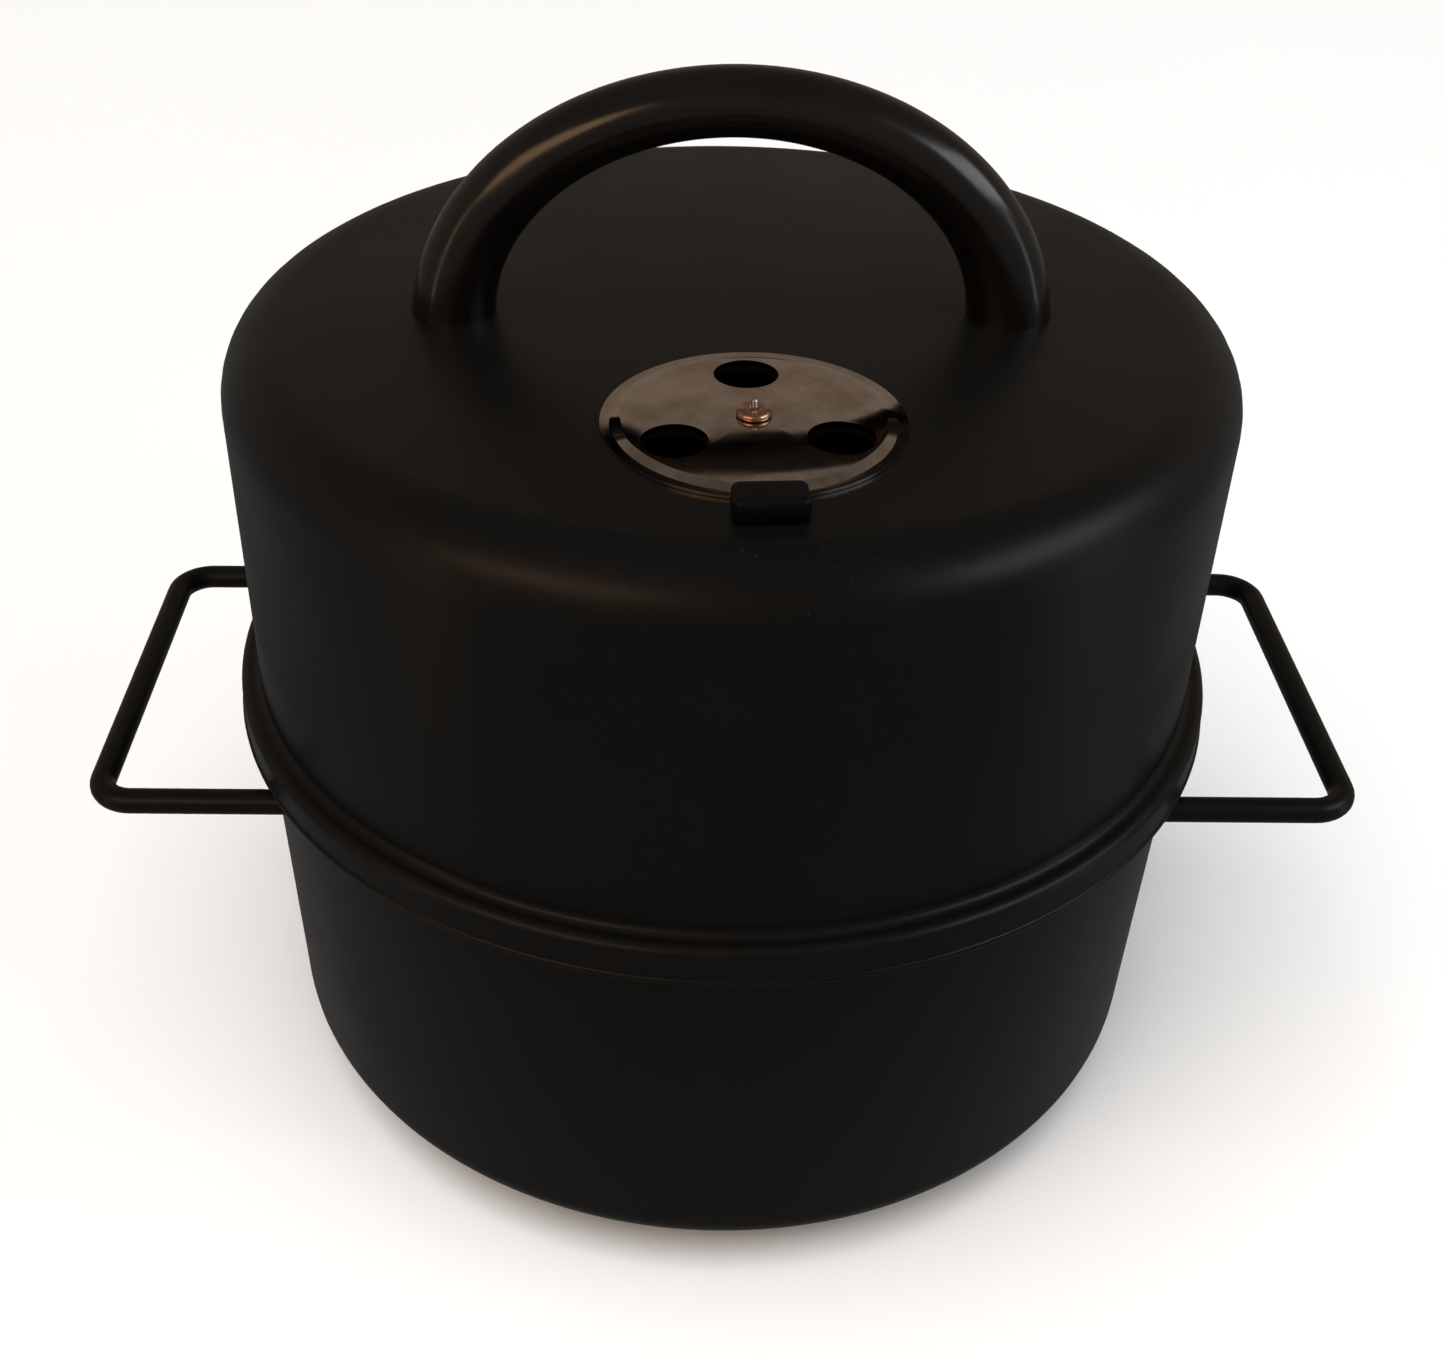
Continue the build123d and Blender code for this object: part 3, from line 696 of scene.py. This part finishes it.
def rivet(owner, body, place, sheet):
    """The hollow rivet, its mandrel and the spring washer under the sheet."""
    head, tail = DISC_TOP + DISC_GAP, -sheet - WASHER_RISE
    name = f"{owner}_damper_"
    dome, head_top = RIVET_HEAD[0], head + RIVET_HEAD[1]
    collar, tail_low = RIVET_TAIL[0], tail - RIVET_TAIL[1]
    bm = bmesh.new()
    spin(bm, rounded([(RIVET_BORE, tail_low, 0), (collar, tail_low, 0.9 * MM), (collar, tail, 0.3 * MM),
                      (RIVET, tail, 0), (RIVET, head, 0), (dome, head, 0.3 * MM),
                      (dome, head_top, 1.4 * MM), (1.5 * MM, head_top, 0.3 * MM),
                      (RIVET_BORE, head_top - 0.7 * MM, 0)], closed=True), place, 48)
    fit(mesh_object(name + "rivet_set", bm), COPPER, body, [name + "rivet"])
    bm = bmesh.new()
    low, high = tail_low + 0.2 * MM, head + MANDREL_TIP
    spin(bm, rounded([(0, low, 0), (MANDREL, low, 0.3 * MM), (MANDREL, high - 0.5 * MM, 0.2 * MM),
                      (0.45 * MM, high, 0.2 * MM), (0, high, 0)], closed=True), place, 32)
    fit(mesh_object(name + "mandrel_pin", bm), ZINC, body, [name + "mandrel"])
    bm = bmesh.new()
    inner = (RIVET + 0.06 * MM, tail + WASHER[1] + 0.02 * MM, 0)
    outer = (WASHER[0], -sheet - 0.02 * MM, 0)
    spin(bm, strip([inner, outer], WASHER[1]), place, 64)
    fit(mesh_object(name + "washer_dished", bm), ZINC, body, [name + "washer"])


# ---- inner fittings ----
def grate(bm, ring, ring_wire, bar_wire, pitch, rod_offset, ring_z):
    """A ring, two rods under parallel bars, and a weld nugget at every crossing of a rod."""
    bar_z = ring_z + ring_wire + bar_wire - BAR_OVERLAP
    hoop(bm, ring, ring_wire, ring_z)
    for x in (-rod_offset, rod_offset):
        half = sqrt(ring ** 2 - x ** 2)
        bar(bm, Vector((x, -half, ring_z)), Vector((x, half, ring_z)), ring_wire)
    count = int(ring / pitch - 0.2)
    for k in range(-count, count + 1):
        y = k * pitch
        half = sqrt(ring ** 2 - y ** 2)
        bar(bm, Vector((-half, y, bar_z)), Vector((half, y, bar_z)), bar_wire)
        for x in (-rod_offset, rod_offset):
            if abs(x) < half:
                nugget(bm, Matrix.Translation((x, y, ring_z + ring_wire)), WELD_NUGGET)


def cooking_grate():
    """The cooking grate with its two upright lifting loops."""
    ring = COOKING_HIGH.x - GRATE_RING
    ring_z = COOKING_LOW.z + GRATE_RING
    bm = bmesh.new()
    grate(bm, ring, GRATE_RING, COOKING_BAR, COOKING_PITCH, COOKING_ROD, ring_z)
    for side in (-1, 1):
        x = side * sqrt(ring ** 2 - LOOP_HALF ** 2)
        top = ring_z + LOOP_RISE
        flat = rounded([(-LOOP_HALF, ring_z, 0), (-LOOP_HALF, top, 8 * MM), (LOOP_HALF, top, 8 * MM),
                        (LOOP_HALF, ring_z, 0)])
        path = [Vector((x, y, z)) for y, z in flat]
        tube(bm, stations(path, COOKING_BAR), Vector((1, 0, 0)), sides=16)
    grid = mesh_object("cooking_grate_wires", bm)
    fit(grid, PLATED, "cooking_stage", ["cooking_grate"])


def charcoal_grate():
    """The charcoal grate on its three legs."""
    ring = CHARCOAL_HIGH.x - GRATE_RING
    ring_z = POT_LOW.z + CHARCOAL_RISE
    bm = bmesh.new()
    grate(bm, ring, GRATE_RING, CHARCOAL_BAR, CHARCOAL_PITCH, CHARCOAL_ROD, ring_z)
    for angle in BRACKET_ANGLES:
        x, y = ring * cos(radians(angle)), ring * sin(radians(angle))
        bar(bm, Vector((x, y, CHARCOAL_LOW.z)), Vector((x, y, ring_z + 1 * MM)), CHARCOAL_LEG)
    grid = mesh_object("charcoal_grate_wires", bm)
    fit(grid, PLATED, "charcoal_stage", ["charcoal_grate"])


def water_pan():
    """The shallow enamelled pan with its flat lip and rolled edge."""
    rim = PAN_HIGH.x - PAN_HEM
    lip = PAN_HIGH.z - 2 * PAN_HEM + PAN_SHEET
    floor_z = PAN_LOW.z + PAN_SHEET
    bm = bmesh.new()
    spin(bm, strip([(0, floor_z, 0), (PAN_FLOOR, floor_z, 10 * MM), (PAN_WALL, lip, 2.5 * MM),
                    (rim, lip, 0)], PAN_SHEET))
    hoop(bm, rim, PAN_HEM, lip + PAN_HEM - PAN_SHEET)
    pan = mesh_object("water_pan_pressed", bm)
    fit(pan, ENAMEL, "water_stage", ["water_pan"])


def paint_carried_nodes():
    """Gives every CAD node that still shows its own material."""
    finishes = {"black_paint": BLACK, "zinc_steel": ZINC, "insert_brass": BRASS}
    for part in frame["record"]["subparts"]:
        node = NODES[part["node"]]
        if not node.hide_render:
            node.data.materials.clear()
            node.data.materials.append(finishes[part["material_slot"]])


# ---- studio ----
def floor():
    """A plain pale floor, and a pale wall far behind it, neither of them mirrored in the gloss."""
    bm = bmesh.new()
    bmesh.ops.create_grid(bm, x_segments=8, y_segments=8, size=STAGE)
    bmesh.ops.translate(bm, verts=bm.verts, vec=(0, 0, -FLOOR_DROP))
    sheet = mesh_object("floor", bm)
    paint = Paint("floor_paper", (0.8, 0.8, 0.8), 0.9, Specular_IOR_Level=0.1)
    paint.color(paint.mix(paint.noise(0.4, 2), (0.80, 0.80, 0.80), (0.83, 0.83, 0.83)))
    sheet.data.materials.append(paint.material)
    bm = bmesh.new()
    spin(bm, strip([(STAGE, -1, 0), (STAGE, STAGE, 0)], 0.1), segments=64)
    wall = mesh_object("backdrop", bm)
    glow = Paint("backdrop_paper", (0, 0, 0), 0.9, Specular_IOR_Level=0, Emission_Strength=1.0,
                 Emission_Color=(0.985, 0.98, 0.965, 1))
    wall.data.materials.append(glow.material)
    sheet.visible_glossy = False
    for ray in ("diffuse", "glossy", "transmission", "shadow"):
        setattr(wall, "visible_" + ray, False)


def lamp(light, azimuth, elevation, distance):
    """Sets a light on the object from an azimuth and elevation in degrees."""
    holder = bpy.data.objects.new(light.name, light)
    bpy.context.scene.collection.objects.link(holder)
    azimuth, elevation = radians(azimuth), radians(elevation)
    out = Vector((cos(azimuth) * cos(elevation), sin(azimuth) * cos(elevation), sin(elevation)))
    holder.location = LAMP_AIM + out * distance
    holder.rotation_euler = out.to_track_quat("Z", "Y").to_euler()
    return holder


def softbox(name, azimuth, elevation, size, power, color):
    """A soft rectangular light whose reflection shows in the gloss."""
    light = bpy.data.lights.new(name, "AREA")
    light.shape = "RECTANGLE"
    light.size, light.size_y = size
    light.energy = power
    light.color = color
    return lamp(light, azimuth, elevation, SOFTBOX_DISTANCE)


def overhead():
    """A broad even light from above for the floor."""
    light = bpy.data.lights.new("overhead", "SUN")
    light.energy = 3.4
    light.angle = radians(60)
    lamp(light, -120, 72, 2).visible_glossy = False


def surroundings():
    """A dim warm room."""
    world = bpy.data.worlds.new("studio")
    world.use_nodes = True
    bpy.context.scene.world = world
    nodes, link = world.node_tree.nodes, world.node_tree.links.new
    coordinates = nodes.new("ShaderNodeTexCoord")
    split = nodes.new("ShaderNodeSeparateXYZ")
    height = nodes.new("ShaderNodeMapRange")
    height.inputs["From Min"].default_value = -1
    ramp = nodes.new("ShaderNodeValToRGB")
    link(coordinates.outputs["Generated"], split.inputs[0])
    link(split.outputs["Z"], height.inputs["Value"])
    link(height.outputs["Result"], ramp.inputs["Fac"])
    link(ramp.outputs["Color"], nodes["Background"].inputs["Color"])
    stops = ramp.color_ramp.elements
    stops[0].position, stops[0].color = 0.45, (0.17, 0.165, 0.155, 1)
    stops[1].position, stops[1].color = 0.66, (0.225, 0.18, 0.142, 1)
    stops.new(0.90).color = (0.11, 0.10, 0.09, 1)


def photo_camera():
    """The camera at the reference viewing angle."""
    data = bpy.data.cameras.new("camera")
    data.sensor_width = 36
    data.lens = CAMERA_LENS
    data.shift_x, data.shift_y = CAMERA_SHIFT
    camera = bpy.data.objects.new("camera", data)
    bpy.context.scene.collection.objects.link(camera)
    forward = Vector((0, cos(CAMERA_PITCH), -sin(CAMERA_PITCH)))
    level = Vector((1, 0, 0))
    upright = Vector((0, sin(CAMERA_PITCH), cos(CAMERA_PITCH)))
    right = cos(CAMERA_ROLL) * level + sin(CAMERA_ROLL) * upright
    up = cos(CAMERA_ROLL) * upright - sin(CAMERA_ROLL) * level
    turn = Matrix((right, up, -forward)).transposed().to_4x4()
    camera.matrix_world = Matrix.Translation(CAMERA_PLACE) @ turn
    bpy.context.scene.camera = camera


photo_camera()
lid_shell()
lid_handle()
base_pot()
side_handle("side_handle_right", 1)
side_handle("side_handle_left", -1)
weld_beads()
for foot_name, foot_angle in FOOT_ANGLES.items():
    foot(foot_name, foot_angle)
damper("lid", "lid_damper", "lid", Matrix.Translation(VENT), LID_SHEET, LID_STEEL)
under_pot = Matrix.Translation((0, 0, POT_LOW.z)) @ Matrix.Rotation(pi, 4, "X")
damper("base", "base_damper", "pot", under_pot, POT_SHEET, BASE_STEEL)
charcoal_grate()
water_pan()
cooking_grate()
paint_carried_nodes()

floor()
surroundings()
overhead()
softbox("warm_side", -127, 31, (0.9, 0.38), 3.0, (1, 0.62, 0.34))
softbox("cool_side", -20, 32, (0.95, 0.42), 4.0, (0.88, 0.94, 1))
softbox("warm_strip", -152, 0, (0.10, 1.1), 0.7, (1, 0.60, 0.32))
softbox("cool_strip", -14, -2, (0.10, 1.1), 0.8, (0.86, 0.93, 1))
bpy.context.scene.view_settings.view_transform = "Standard"
